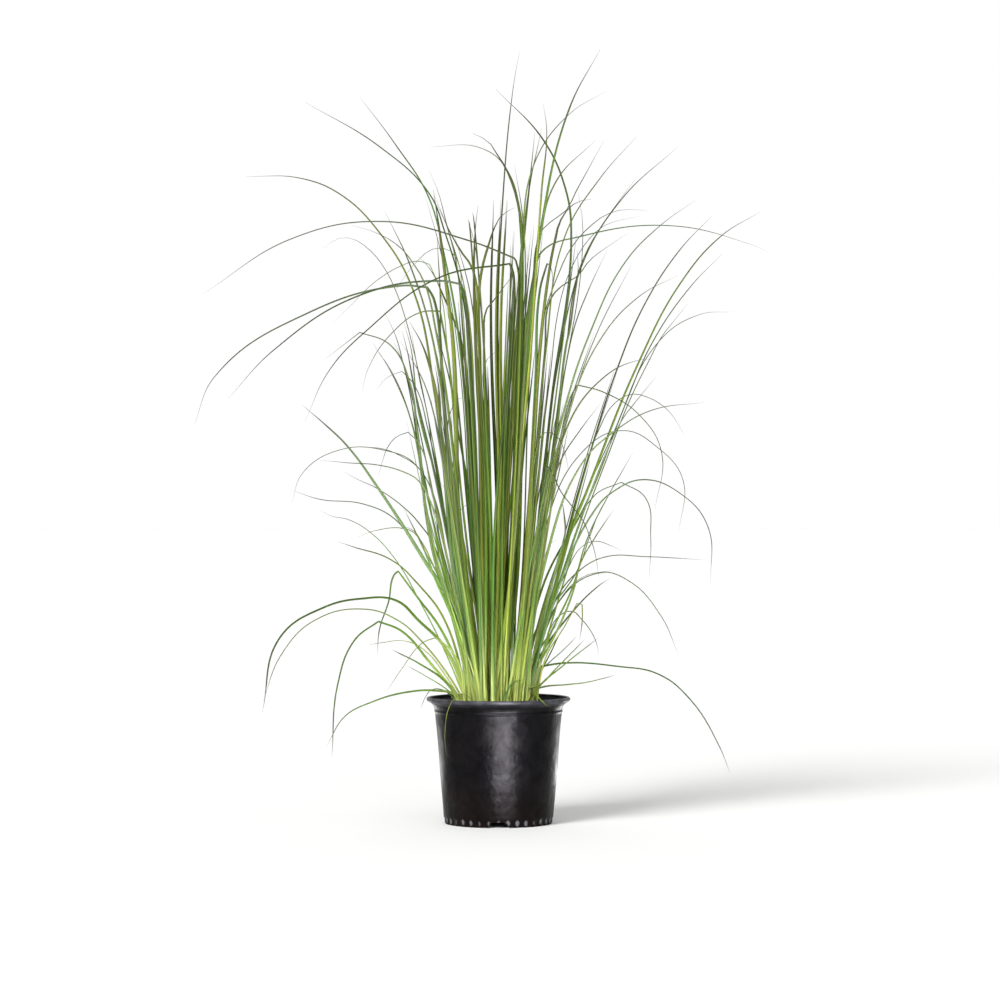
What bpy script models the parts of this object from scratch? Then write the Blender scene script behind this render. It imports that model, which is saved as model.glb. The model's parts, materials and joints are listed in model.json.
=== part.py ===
"""Potted ornamental grass clump: a nursery pot, its root ball, and a fountain of long arching leaves.

Metres, +Z up. The origin is the middle of the pot's underside. The leaves stand in pockets in the
potting mix, so every leaf is its own solid and nothing overlaps.
"""

import math
import random

import bmesh
import bpy
from mathutils import Vector

MM = 0.001
WELD = 0.000001
SMOOTH_ANGLE = 35

# Pot: a round blow-moulded container with a rolled lip.
BASE_RADIUS = 64.2
HEEL_HEIGHT = 9.5
PANEL_UNDER = 5.2
PANEL_TOP = 6.4
INNER_FLOOR_RADIUS = 63.2
INNER_NECK_RADIUS = 74.2
INNER_NECK_HEIGHT = 136.5
POT_STEPS = 72

# The pot's section as (radius, height): lip, cove, shoulder, wall, heel, base panel, inside.
POT_SECTION = (
    (82.6, 149.0),
    (85.0, 147.0),
    (84.3, 144.1),
    (80.4, 142.4),
    (76.6, 138.4),
    (75.2, 134.4),
    (75.6, 132.6),
    (74.9, 130.8),
    (64.9, HEEL_HEIGHT),
    (BASE_RADIUS, 0.0),
    (61.4, 0.0),
    (60.8, PANEL_UNDER),
    (0.0, PANEL_UNDER),
    (0.0, PANEL_TOP),
    (INNER_FLOOR_RADIUS, PANEL_TOP),
    (INNER_NECK_RADIUS, INNER_NECK_HEIGHT),
    (79.4, 144.2),
)

# Scallops round the heel, deepest at the ground.
FLUTE_DEPTH = 1.4
FLUTE_DEPTH_AT_TOP = 0.4
FLUTE_REACH = 0.5

# Drain notches: trapezoids cut through the heel into the edge of the raised base.
NOTCH_COUNT = 4
NOTCH_FOOT_WIDTH = 26.0
NOTCH_TOP_WIDTH = 18.0
NOTCH_HEIGHT = 7.0
NOTCH_INNER_RADIUS = 52.0
NOTCH_OUTER_RADIUS = 75.0
NOTCH_BELOW = 2.0

# Potting mix.
SOIL_TOP = 138.0
SOIL_GAP = 0.4
SOIL_SIDES = 32
SOIL_RINGS = (9.0, 17.0, 20.0)
SOIL_EVEN_RIM = 3.0
SOIL_LUMP = 1.3
SOIL_SEED = 5

# Leaves: feet on a staggered grid round the middle of the clump.
CLUMP_X = -6.0
FOOT_PITCH = 9.6
FOOT_DEPTH = 12.0
FOOT_CLEAR = 4.0
POCKET_FLOOR_GAP = 0.4
POCKET_SCALE = 1.22
LEAF_STEPS = 2
SECTION_THICKNESS = 0.5
TIP_SHARE = 0.14
TAPER_START = 0.22
TAPER_POWER = 1.25
SHEATH_SHARE = 1.25
SHEATH_END = 0.12
DEPTH_POWER = 1.45

# Routes are written as they look from the front, in the upright plane through the pot's axis.
# The eye they are seen from is here, so a leaf moved nearer or further keeps its outline.
EYE_X = 1.8
EYE_DISTANCE = 3899.0
EYE_HEIGHT = 381.6

# One leaf a line: width, foot as (column, row) on the grid, depth of the tip (+ is to the back),
# and the route from the soil to the tip as (x, z), or (x, z, depth) where the depth is fixed.
# All in millimetres.
LEAVES = (
    # Low leaves on the left, drooping past the rim.
    (5.5, (-4, -1), -110, ((-80, 189), (-114, 227), (-142, 239), (-170, 217), (-190, 165), (-197, 76))),
    (5.0, (-4, 0), -40, ((-51, 152), (-74, 157), (-109, 155), (-148, 144), (-182, 126), (-203, 91))),
    (6.0, (-3, 0), -150, ((-62, 207), (-94, 240), (-121, 264), (-162, 266), (-205, 256),
                          (-258, 220), (-279, 131))),
    (4.0, (-4, 1), 90, ((-56, 171), (-94, 219), (-117, 239), (-156, 253), (-217, 240),
                        (-258, 197), (-278, 144))),
    (6.0, (-4, -2), -70, ((-61, 166), (-92, 188), (-126, 205))),
    (3.2, (-4, 2), 60, ((-58, 156), (-90, 176), (-108, 186))),
    (3.2, (-4, -3), -95, ((-47, 189), (-61, 209), (-75, 219), (-90, 213), (-114, 183), (-133, 154))),
    (2.4, (-2, -4), -80, ((-40, 152, -55), (-49, 149, -73), (-57, 140, -84), (-63, 112, -85), (-61, 70))),
    # Leaves on the left at half height.
    (5.5, (-3, -2), -130, ((-51, 248), (-89, 313), (-143, 397), (-180, 447), (-205, 471), (-232, 494))),
    (3.6, (-3, 4), 230, ((-62, 320), (-96, 422), (-136, 441), (-188, 441), (-232, 413), (-244, 379))),
    (4.2, (-3, 3), 190, ((-56, 250), (-100, 330), (-123, 360), (-159, 377), (-213, 383), (-243, 393))),
    (4.5, (-3, 2), 100, ((-63, 240), (-94, 282), (-126, 311), (-173, 327), (-192, 333))),
    (4.2, (-3, -1), -60, ((-58, 262), (-76, 302), (-96, 339), (-107, 347), (-148, 345), (-167, 337))),
    (5.5, (-3, 1), 60, ((-67, 228), (-96, 268), (-118, 298), (-123, 294), (-130, 262),
                        (-141, 228), (-143, 198))),
    # Tall leaves leaning left.
    (5.2, (-3, -3), -160, ((-50, 228), (-80, 334), (-96, 464), (-105, 521), (-128, 565),
                           (-164, 580), (-205, 548))),
    (4.5, (-2, 1), 70, ((-57, 275), (-83, 382), (-102, 474), (-128, 537), (-146, 561))),
    (5.5, (-2, 0), -60, ((-57, 393), (-74, 500), (-101, 630), (-140, 697), (-187, 743),
                         (-234, 762), (-299, 764))),
    (6.0, (-2, -2), -150, ((-49, 311), (-64, 488), (-76, 618), (-84, 633), (-116, 635), (-223, 604),
                           (-336, 527), (-360, 469))),
    (4.2, (-2, 2), 160, ((-44, 340), (-58, 540), (-69, 605), (-93, 603), (-123, 582), (-154, 537),
                         (-161, 509))),
    (5.5, (-2, 3), 130, ((-29, 441), (-41, 618), (-63, 698), (-81, 743), (-140, 799), (-229, 852))),
    (6.0, (-1, 0), -40, ((-28, 311), (-45, 559), (-64, 671), (-83, 741), (-121, 801), (-164, 858))),
    (6.5, (-2, -3), -200, ((-26, 381), (-39, 618), (-44, 637), (-69, 641), (-164, 624),
                           (-266, 559), (-320, 501))),
    (4.8, (0, 1), -105, ((14, 440), (24, 648), (20, 667), (-34, 688), (-140, 711), (-246, 690),
                         (-348, 626))),
    (5.0, (0, -2), -210, ((8, 440), (18, 645), (14, 661), (-69, 645), (-157, 581), (-200, 535),
                          (-229, 474))),
    (4.2, (0, 2), 160, ((12, 500), (26, 700), (8, 775), (-22, 798), (-81, 799))),
    # Upright leaves in the middle.
    (6.5, (0, 0), 25, ((2, 382), (-1, 594), (5, 736), (17, 866), (25, 913))),
    (7.0, (0, -1), -70, ((17, 311), (35, 559), (51, 706), (84, 845), (120, 914))),
    (5.0, (1, -1), -150, ((22, 382), (38, 559), (51, 748), (57, 819), (53, 849))),
    (5.2, (2, 0), 60, ((33, 240), (63, 500), (86, 700), (79, 750), (53, 807), (-3, 867))),
    (4.8, (1, 0), 120, ((20, 441), (28, 683), (43, 781), (84, 838), (126, 864))),
    (5.0, (1, 2), 280, ((9, 300), (14, 441), (24, 618), (43, 817))),
    (4.6, (1, 1), 190, ((16, 300), (32, 500), (49, 689), (68, 758), (115, 807))),
    (5.0, (2, -2), -130, ((41, 382), (56, 559), (79, 695), (120, 762), (164, 812))),
    (5.5, (-1, -2), -300, ((-14, 382, -50), (-22, 540, -100), (-30, 655, -165), (-34, 705, -235),
                           (-36, 712, -300))),
    (5.5, (-1, 3), 300, ((-12, 382, 60), (-16, 540, 110), (-24, 655, 170), (-29, 712, 240),
                         (-31, 722, 300))),
    (5.0, (0, -4), -270, ((-6, 300, -60), (-1, 400, -110), (5, 470, -165), (8, 500, -220), (9, 508, -270))),
    (5.0, (0, 4), 285, ((-4, 300, 60), (4, 400, 110), (12, 460, 170), (16, 486, 230), (18, 492, 285))),
    # Tall leaves leaning right.
    (5.2, (2, 1), 130, ((55, 382), (79, 559), (96, 653), (146, 738), (212, 799))),
    (4.5, (1, 3), 250, ((22, 441), (43, 653), (52, 676), (96, 693), (203, 706), (297, 684), (318, 675))),
    (6.5, (4, 0), -55, ((53, 252), (112, 413), (166, 546), (214, 637), (262, 693), (309, 722))),
    (5.5, (3, 1), 110, ((61, 263), (105, 429), (141, 540), (173, 614), (214, 677), (253, 718))),
    (5.0, (3, 0), 30, ((52, 280), (105, 382), (149, 494), (181, 567), (226, 633), (265, 673))),
    (3.8, (3, 2), 200, ((66, 300), (135, 460), (191, 571), (238, 601), (277, 604))),
    (5.0, (2, -1), -170, ((45, 340), (80, 496), (108, 579), (149, 662), (191, 706), (233, 736))),
    (4.6, (3, -2), -250, ((48, 340), (82, 483), (122, 574), (167, 623), (212, 647))),
    (4.2, (3, -4), -280, ((48, 300), (80, 465), (125, 527), (166, 547), (184, 548))),
    (4.6, (2, 2), 120, ((36, 300), (73, 427), (97, 465), (120, 495))),
    # Leaves on the right at half height.
    (4.2, (4, -2), -185, ((66, 264), (114, 370), (136, 392), (172, 406), (216, 389), (247, 352),
                          (251, 282))),
    (4.2, (3, -1), -120, ((60, 360), (84, 500), (93, 518), (125, 509), (168, 481), (193, 438), (185, 370))),
    (3.4, (2, 3), 240, ((52, 340), (100, 440), (147, 464), (188, 444), (218, 406), (213, 343))),
    (3.6, (4, 2), 170, ((60, 250), (112, 386), (145, 403), (174, 384), (180, 338), (178, 288))),
    (4.0, (4, 1), 80, ((67, 263), (97, 300), (127, 315), (174, 315), (243, 311))),
    (4.6, (4, -1), -60, ((58, 215), (87, 278), (105, 337), (129, 386), (159, 438))),
    (4.6, (3, -3), -205, ((58, 320), (100, 427), (137, 463), (181, 488), (243, 497))),
    # Low leaves on the right.
    (4.8, (5, 0), -60, ((50, 186), (80, 190), (139, 186), (190, 176), (227, 146), (261, 91), (274, 58))),
    (4.2, (4, -3), -70, ((47, 160), (76, 186), (118, 219))),
    (6.0, (3, 4), 110, ((49, 198), (84, 246), (119, 281), (132, 289))),
    (3.4, (4, 3), 170, ((70, 260), (120, 296), (153, 287), (192, 245), (213, 198))),
)


def material(name, colour, roughness):
    made = bpy.data.materials.new(name)
    made.use_nodes = True
    shader = made.node_tree.nodes["Principled BSDF"]
    shader.inputs["Base Color"].default_value = (*colour, 1.0)
    shader.inputs["Roughness"].default_value = roughness
    return made


def add_object(name, data, collection, finish=None):
    made = bpy.data.objects.new(name, data)
    collection.objects.link(made)
    if finish:
        data.materials.append(finish)
    return made


def hide_helper(helper):
    helper.hide_render = True
    helper.display_type = "WIRE"


def mesh_from(name, bm):
    mesh = bpy.data.meshes.new(name)
    bm.to_mesh(mesh)
    bm.free()
    return mesh


def smooth_shading(mesh):
    mesh.shade_smooth()
    mesh.set_sharp_from_angle(angle=math.radians(SMOOTH_ANGLE))


def evaluated_copy(source, name):
    """The mesh of an object with its modifiers or bevel, welded and closed."""
    graph = bpy.context.evaluated_depsgraph_get()
    mesh = bpy.data.meshes.new_from_object(source.evaluated_get(graph))
    mesh.name = name
    bm = bmesh.new()
    bm.from_mesh(mesh)
    bmesh.ops.remove_doubles(bm, verts=bm.verts, dist=WELD)
    bm.to_mesh(mesh)
    bm.free()
    return mesh


def cut(target, cutter):
    boolean = target.modifiers.new("cut", "BOOLEAN")
    boolean.operation = "DIFFERENCE"
    boolean.solver = "EXACT"
    boolean.object = cutter


# Pot


def heel_flutes(bm):
    """Every second column of the heel is drawn in, which leaves upright ribs round the foot."""
    column = 2 * math.pi / POT_STEPS
    for vertex in bm.verts:
        radius = vertex.co.xy.length / MM
        outside = radius > BASE_RADIUS - FLUTE_REACH and vertex.co.z < HEEL_HEIGHT * MM + WELD
        index = round(math.atan2(vertex.co.y, vertex.co.x) / column)
        if outside and index % 2:
            depth = FLUTE_DEPTH if vertex.co.z < WELD else FLUTE_DEPTH_AT_TOP
            vertex.co.xy *= (radius - depth) / radius


def notch_cutter(collection):
    """Trapezoid prisms that lie along the radius, one for each drain notch."""
    bm = bmesh.new()
    half_top = NOTCH_TOP_WIDTH / 2
    half_ground = NOTCH_FOOT_WIDTH / 2
    half_foot = half_ground + (half_ground - half_top) * NOTCH_BELOW / NOTCH_HEIGHT
    middle = (NOTCH_INNER_RADIUS + NOTCH_OUTER_RADIUS) / 2
    for index in range(NOTCH_COUNT):
        made = bmesh.ops.create_cube(bm, size=2.0 * MM)["verts"]
        turn = 2 * math.pi * index / NOTCH_COUNT
        along = Vector((math.sin(turn), -math.cos(turn), 0.0))
        across = Vector((math.cos(turn), math.sin(turn), 0.0))
        for vertex in made:
            side, length, top = (1 if value > 0 else -1 for value in vertex.co)
            half = half_top if top > 0 else half_foot
            reach = middle + length * (NOTCH_OUTER_RADIUS - middle)
            height = NOTCH_HEIGHT if top > 0 else -NOTCH_BELOW
            vertex.co = (across * side * half + along * reach) * MM
            vertex.co.z = height * MM
    bmesh.ops.recalc_face_normals(bm, faces=bm.faces)
    cutter = add_object("notch_cutter", mesh_from("notch_cutter", bm), collection)
    hide_helper(cutter)
    return cutter


def add_pot(collection, cutters, finish):
    bm = bmesh.new()
    points = [bm.verts.new((radius * MM, 0.0, height * MM)) for radius, height in POT_SECTION]
    for start, end in zip(points, points[1:] + points[:1]):
        if start.co.x > 0 or end.co.x > 0:
            bm.edges.new((start, end))
    profile = add_object("pot_profile", mesh_from("pot_profile", bm), cutters)
    screw = profile.modifiers.new("turn", "SCREW")
    screw.steps = POT_STEPS
    screw.render_steps = POT_STEPS
    screw.use_merge_vertices = True
    screw.merge_threshold = WELD
    mesh = evaluated_copy(profile, "pot")
    bpy.data.objects.remove(profile)

    bm = bmesh.new()
    bm.from_mesh(mesh)
    heel_flutes(bm)
    bm.to_mesh(mesh)
    bm.free()
    smooth_shading(mesh)
    pot = add_object("pot", mesh, collection, finish)
    cut(pot, notch_cutter(cutters))
    return pot


# Leaves


def foot_of(cell):
    """Where a leaf stands: odd rows of the grid are set over by half a pitch."""
    column, row = cell
    x = CLUMP_X + FOOT_PITCH * (column + 0.5 * (row % 2))
    y = FOOT_PITCH * math.sqrt(0.75) * row
    return x, y


def along_sight(x, z, depth):
    """A place seen at (x, z) from the front, moved along the line of sight to its depth."""
    scale = 1.0 + depth / EYE_DISTANCE
    return Vector((EYE_X + (x - EYE_X) * scale, depth, EYE_HEIGHT + (z - EYE_HEIGHT) * scale))


def leaf_route(cell, depth, route):
    """Points from the foot to the tip, in millimetres, with the depth growing along the leaf."""
    x, y = foot_of(cell)
    seen = [(x, SOIL_TOP)] + [place[:2] for place in route]
    steps = [math.dist(a, b) for a, b in zip(seen, seen[1:])]
    length = sum(steps)
    points = [Vector((x, y, SOIL_TOP - FOOT_DEPTH)), Vector((x, y, SOIL_TOP + FOOT_CLEAR))]
    gone = 0.0
    for step, (side, height, *fixed) in zip(steps, route):
        gone += step
        share = (gone / length) ** DEPTH_POWER
        points.append(along_sight(side, height, fixed[0] if fixed else y + (depth - y) * share))
    return points


def leaf_width(width, share):
    """A sheath at the foot, an even blade, then a long taper to the tip."""
    if share < SHEATH_END:
        return width * (SHEATH_SHARE - (SHEATH_SHARE - 1.0) * share / SHEATH_END)
    if share < TAPER_START:
        return width
    fade = (share - TAPER_START) / (1.0 - TAPER_START)
    return width * (1.0 - (1.0 - TIP_SHARE) * fade**TAPER_POWER)


def section_curve(collection):
    """The leaf's cross-section at a width of one: a keeled diamond."""
    data = bpy.data.curves.new("leaf_section", "CURVE")
    data.dimensions = "2D"
    spline = data.splines.new("POLY")
    corners = ((-0.5, 0.0), (0.0, 0.5 * SECTION_THICKNESS), (0.5, 0.0), (0.0, -0.5 * SECTION_THICKNESS))
    spline.points.add(len(corners) - 1)
    for point, corner in zip(spline.points, corners):
        point.co = (*corner, 0.0, 1.0)
    spline.use_cyclic_u = True
    section = add_object("leaf_section", data, collection)
    hide_helper(section)
    return section


def leaf_curve(name, points, widths, section, steps):
    """A swept leaf, its flat side turned to face away from the clump's middle."""
    lean = points[-1] - points[0]
    data = bpy.data.curves.new(name, "CURVE")
    data.dimensions = "3D"
    data.twist_mode = "MINIMUM"
    data.bevel_mode = "OBJECT"
    data.bevel_object = section
    data.use_fill_caps = True
    data.resolution_u = steps
    spline = data.splines.new("BEZIER")
    spline.bezier_points.add(len(points) - 1)
    tilt = math.atan2(lean.y, lean.x) + math.pi / 2
    for index, (bezier, point, width) in enumerate(zip(spline.bezier_points, points, widths)):
        bezier.co = point * MM
        kind = "VECTOR" if index < 2 else "AUTO"
        bezier.handle_left_type = kind
        bezier.handle_right_type = kind
        bezier.radius = width * MM
        bezier.tilt = tilt
    return data


def add_leaf(name, row, section, collection, finish):
    width, cell, depth, route = row
    points = leaf_route(cell, depth, route)
    steps = [(b - a).length for a, b in zip(points, points[1:])]
    shares = [sum(steps[:index]) / sum(steps) for index in range(len(points))]
    widths = [leaf_width(width, share) for share in shares]
    data = leaf_curve(name, points, widths, section, LEAF_STEPS)
    return add_object(name, data, collection, finish), tuple(points[:2]), widths[0]


def pocket_cutter(feet, section, cutters):
    """One mesh of upright sockets, a little wider than the leaf feet that stand in them."""
    bm = bmesh.new()
    for (foot, top), width, tilt in feet:
        floor = foot - Vector((0.0, 0.0, POCKET_FLOOR_GAP))
        mouth = top + Vector((0.0, 0.0, FOOT_CLEAR))
        data = leaf_curve("pocket", [floor, mouth], [width * POCKET_SCALE] * 2, section, 1)
        for bezier in data.splines[0].bezier_points:
            bezier.tilt = tilt
        guide = add_object("pocket", data, cutters)
        mesh = evaluated_copy(guide, "pocket")
        bm.from_mesh(mesh)
        bpy.data.objects.remove(guide)
        bpy.data.meshes.remove(mesh)
    bmesh.ops.recalc_face_normals(bm, faces=bm.faces)
    cutter = add_object("pocket_cutter", mesh_from("pocket_cutter", bm), cutters)
    hide_helper(cutter)
    return cutter


# Potting mix


def add_soil(collection, finish, cutter):
    """A root ball the shape of the pot's inside, with a lumpy top and a socket for every leaf."""
    dice = random.Random(SOIL_SEED)
    floor = PANEL_TOP + SOIL_GAP
    low_radius = INNER_FLOOR_RADIUS - SOIL_GAP
    high_radius = INNER_NECK_RADIUS - SOIL_GAP
    bm = bmesh.new()
    bmesh.ops.create_cone(
        bm,
        cap_ends=True,
        segments=SOIL_SIDES,
        radius1=low_radius * MM,
        radius2=high_radius * MM,
        depth=(SOIL_TOP - floor) * MM,
    )
    bmesh.ops.translate(bm, verts=bm.verts, vec=(0.0, 0.0, (SOIL_TOP + floor) / 2 * MM))
    top = max(bm.faces, key=lambda face: face.calc_center_median().z)
    for inset in SOIL_RINGS:
        bmesh.ops.inset_region(bm, faces=[top], thickness=inset * MM, use_even_offset=True)
    bmesh.ops.poke(bm, faces=[top])
    for vertex in bm.verts:
        inside = vertex.co.xy.length < (high_radius - SOIL_EVEN_RIM) * MM
        if inside and vertex.co.z > SOIL_TOP * MM - WELD:
            vertex.co.z += dice.uniform(-SOIL_LUMP, SOIL_LUMP) * MM
    mesh = mesh_from("soil", bm)
    soil = add_object("soil", mesh, collection, finish)
    cut(soil, cutter)
    return soil


def main():
    for old in list(bpy.data.objects):
        bpy.data.objects.remove(old)
    parts = bpy.data.collections.new("potted_grass_clump")
    cutters = bpy.data.collections.new("cutters")
    bpy.context.scene.collection.children.link(parts)
    bpy.context.scene.collection.children.link(cutters)

    plastic = material("black_nursery_plastic", (0.012, 0.012, 0.014), 0.38)
    mix = material("potting_mix", (0.035, 0.022, 0.014), 0.95)
    green = material("grass_leaf", (0.10, 0.21, 0.04), 0.5)

    add_pot(parts, cutters, plastic)
    section = section_curve(cutters)
    feet = []
    for index, row in enumerate(LEAVES):
        leaf, foot, width = add_leaf(f"leaf_{index + 1:02d}", row, section, parts, green)
        feet.append((foot, width, leaf.data.splines[0].bezier_points[0].tilt))
    add_soil(parts, mix, pocket_cutter(feet, section, cutters))


main()
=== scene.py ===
"""The looks of a potted ornamental grass clump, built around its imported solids.

Metres, +Z up, in the frame of the solids. Every leaf is bent from a unit blade along its own route.
"""

import json
import math
import random
from functools import partial

import bmesh
import bpy
from mathutils import Euler, Matrix, Vector

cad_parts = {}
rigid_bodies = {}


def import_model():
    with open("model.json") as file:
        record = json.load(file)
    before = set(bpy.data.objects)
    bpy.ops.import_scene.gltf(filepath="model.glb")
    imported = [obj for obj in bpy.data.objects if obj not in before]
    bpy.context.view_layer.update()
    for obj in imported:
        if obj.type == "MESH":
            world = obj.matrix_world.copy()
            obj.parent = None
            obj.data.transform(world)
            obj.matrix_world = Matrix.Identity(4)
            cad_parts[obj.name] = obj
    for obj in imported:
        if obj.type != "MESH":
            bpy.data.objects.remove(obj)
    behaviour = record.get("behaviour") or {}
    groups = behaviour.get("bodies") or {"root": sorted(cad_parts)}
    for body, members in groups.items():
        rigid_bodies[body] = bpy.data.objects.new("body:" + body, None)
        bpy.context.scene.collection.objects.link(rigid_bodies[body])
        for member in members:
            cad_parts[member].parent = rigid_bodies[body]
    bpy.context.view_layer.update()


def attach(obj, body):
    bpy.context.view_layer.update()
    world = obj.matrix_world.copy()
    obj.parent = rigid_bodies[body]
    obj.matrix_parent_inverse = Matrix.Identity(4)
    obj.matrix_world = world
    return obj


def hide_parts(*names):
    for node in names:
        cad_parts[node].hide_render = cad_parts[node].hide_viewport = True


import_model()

MM = 0.001

# Pot, in millimetres: the outside of the sheet from the top of the lip to the middle of the base.
POT_SHEET = 0.9
POT_STEPS = 144
POT_SMOOTHING = math.radians(38)
POT_OUTLINE = (
    (81.2, 148.3), (82.2, 148.9), (83.4, 148.9), (84.5, 148.2), (85.0, 147.0), (84.9, 145.6),
    (84.2, 144.4), (82.9, 143.6), (81.0, 142.9), (79.2, 141.8), (77.7, 140.1), (76.6, 138.0),
    (75.8, 135.6), (75.4, 134.4), (75.7, 133.5), (75.9, 132.7), (75.7, 131.8), (75.1, 131.0),
    (74.9, 129.6),
)
WALL_FOOT = (65.0, 11.0)
WALL_RINGS = 24
HEEL_OUTLINE = (
    (64.9, 9.5), (64.75, 7.5), (64.6, 5.0), (64.4, 2.4), (64.2, 0.9), (63.7, 0.2), (63.0, 0.0),
    (61.0, 0.0), (60.4, 0.4), (60.0, 4.6), (59.2, 5.2), (30.0, 5.2), (0.0, 5.2),
)
# What is nearer to the axis than this belongs to the base, not to the wall and the heel.
SHELL_INSIDE = 62.0
# Upright dents round the heel: the columns of one and its levels (from, to), each with its share of
# the depth.
FLUTE_COUNT = 36
FLUTE_DEPTH = 1.4
FLUTE_COLUMNS = ((1, 0.5), (2, 1.0), (3, 0.5))
FLUTE_LEVELS = ((-0.1, 0.1, 0.5), (0.1, 0.5, 0.7), (0.5, 6.0, 1.0), (6.0, 9.0, 0.6))
NOTCH_COUNT = 4
NOTCH_FOOT_WIDTH = 26.0
NOTCH_TOP_WIDTH = 18.0
NOTCH_HEIGHT = 7.0
NOTCH_REACH = (52.0, 75.0)
# Slow waves of the moulded wall, which fade out towards the heel and the shoulder.
WAVE_SIZE = 45.0
WAVE_HEIGHT = 1.5
WAVE_LOW = 10.0
WAVE_HIGH = 128.0
WAVE_FADE = 15.0

# Potting mix, in millimetres: noises are (name, size, height), and a bark chip starts as a flake one
# unit long.
SOIL_TOP = 138.0
SOIL_RADIUS = 73.6
SOIL_FLOOR = 6.8
SOIL_FOOT_RADIUS = 62.8
SOIL_SIDES = 96
SOIL_EDGE = 4.0
SOIL_NOISES = (("heaps", 16.0, 3.4), ("crumbs", 3.5, 1.9))
SOIL_SMOOTHING = math.radians(60)
CHIP_SEED = 31
FLAKE_SEED = 4
CHIP_COUNT = 700
CHIP_SHAPE = (1.0, 0.6, 0.28)
CHIP_BEVEL = 0.07
CHIP_CRUMPLE = 0.09
CHIP_RIM = 3.0
SMALL_CHIPS = (1.6, 3.2)
LARGE_CHIPS = (3.5, 7.0)
SMALL_SHARE = 0.8
CHIP_TILT = 0.5
CHIP_TURN = 6.28
CHIP_HEIGHTS = (-0.6, 1.2)

# Leaves, in millimetres: their feet stand on a staggered grid round the middle of the clump.
LEAF_SEED = 11
CLUMP_X = -6.0
FOOT_PITCH = 9.6
FOOT_DEPTH = 12.0
FOOT_CLEAR = 4.0
DEPTH_POWER = 1.45
FACING_POINT = 30.0
FACING_SPREAD = 0.35
UNWINDING = 1.5
TIP_TURN = 0.3
GUIDE_STEPS = 14
KINK_ANGLE = math.radians(52)
FRONT_ROW = -2
THIN_SHARE = 1.35

# Unit blades: rows along, columns across, and the flare of the sheath. Widths are over the nominal
# width, and places and lengths are shares of the leaf.
BLADES = {
    "sheathed": (90, 6, 0.85),
    "broad": (90, 6, 0.1),
    "kinked": (220, 6, 0.1),
    "slim": (56, 4, 0.1),
    "kinked_slim": (220, 2, 0.1),
    "inner": (36, 4, 0.1),
}
SHEATH_SHARE = 0.18
BLADE_WIDTH = 0.98
TAPER_START = 0.15
TAPER = 0.66
TAPER_POWER = 1.3
TIP_SHARE = 0.1
TIP_WIDTH = 0.1
SHEATH_FOLD = 0.95
OPENING = 0.2
OPENING_START = 0.05
OPENING_RUN = 0.25
FOLD_NARROWING = 0.35
KEEL_POWER = 1.25
BLADE_WALL = 0.07
BLADE_SMOOTHING = math.radians(50)

# A leaf's own looks. Inner leaves, near the middle of the clump, have the longest sheaths and a yellower
# green, their tone is painted lighter against the shade there, and some of them are yellow. Lengths are in
# millimetres.
SHEATH_LENGTH = 165.0
SHEATH_LOSS = 1.9
SHEATH_SPREAD = (0.75, 1.25)
SHEATH_LEAST = 30.0
SHEATH_MOST = 0.35
INNER_RADIUS = 45.0
YELLOW_ODDS = 0.2
YELLOW_INNER = 0.35
YELLOW_HUE = 0.2
YELLOW_TONE = 1.2
HUE = 0.5
HUE_INNER = 0.1
HUE_SPREAD = 0.15
HUES = (0.1, 0.9)
TONES = (0.62, 1.18)
INNER_PAINTED_LIFT = 0.6
WEARS = (0.55, 1.0)
WEAR_INNER = 0.55

# Leaves, by number, that stand in a bundle: more of them stand behind and before each one, moved and
# leaning aside, cut shorter, and with feet and tips at depths of their own.
LANES = (16, 17, 18, 20, 21, 22, 23, 24, 25, 26, 27, 28, 29, 30, 32, 33, 34, 35, 41, 44, 46)
LANE_MATES = 5
LANE_SWAY = 3.0
LANE_SPLAY = 0.014
LANE_KEPT = (0.5, 0.9)
LANE_COLUMNS = 0.6
LANE_ROWS = 4.0
LAST_ROW = 4.5
ROW_LEAN = 30.0
LANE_DEPTH = 70.0
LAST_DEPTH = 230.0
LANE_WIDTHS = (0.55, 0.95)

# Patterns of a leaf: ribs across its width, changes of shade along a rib and patches, both for each
# metre, and the step in the noise from one leaf's tone to another's.
RIBS_ACROSS = 9.0
SHADES_ALONG = 28.0
PATCHES_ALONG = 9.0
TONE_STEP = 40.0

# Routes are written as they look from the front, in the upright plane through the pot's axis.
EYE_X = 1.8
EYE_DISTANCE = 3899.0
EYE_HEIGHT = 381.6
LENS_MM = 118.8
SENSOR_MM = 36.0

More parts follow.
